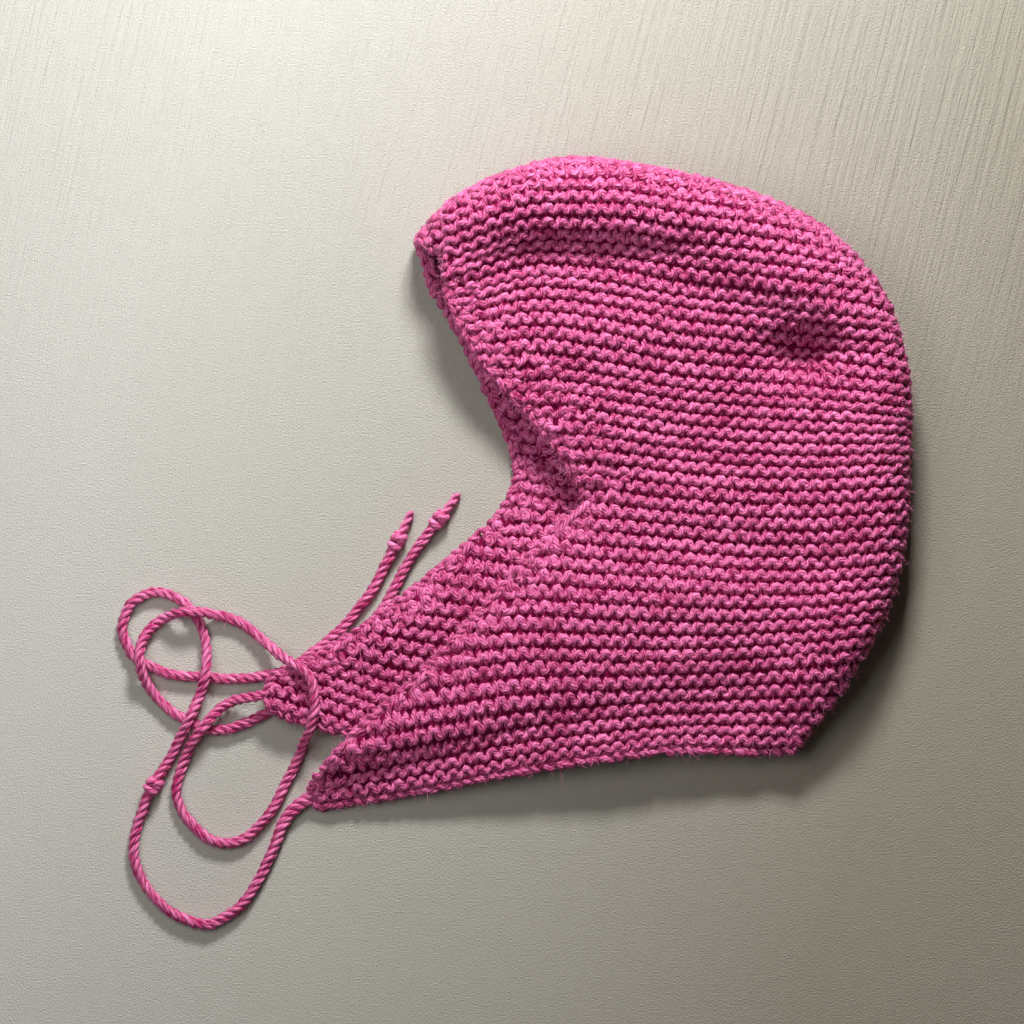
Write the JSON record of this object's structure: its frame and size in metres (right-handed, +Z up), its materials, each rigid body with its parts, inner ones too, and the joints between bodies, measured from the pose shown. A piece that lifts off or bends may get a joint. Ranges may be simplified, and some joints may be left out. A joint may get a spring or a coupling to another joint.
{
  "type": "baby bonnet",
  "caption": "Hand-knitted garter-stitch baby bonnet with pointed ear flaps and twisted tie cords, lying flat on its side.",
  "frame": {"origin": "on the surface that the bonnet lies on, under the middle of its side", "axes": "+X to the back of the head, +Y to the crown, +Z up from the surface"},
  "size_m": [0.2147, 0.2088, 0.025],
  "materials": {
    "knit": "plied rose-pink wool, garter stitch, matt with soft loose fibres",
    "cord": "the same rose-pink wool, twisted into a firm cord, matt"
  },
  "bodies": {
    "root": {"bonnet_body": "knit", "tie_cord_near": "cord", "tie_cord_far": "cord", "join_knot": "cord", "end_knot_near": "cord", "end_knot_far": "cord"}
  },
  "joints": []
}
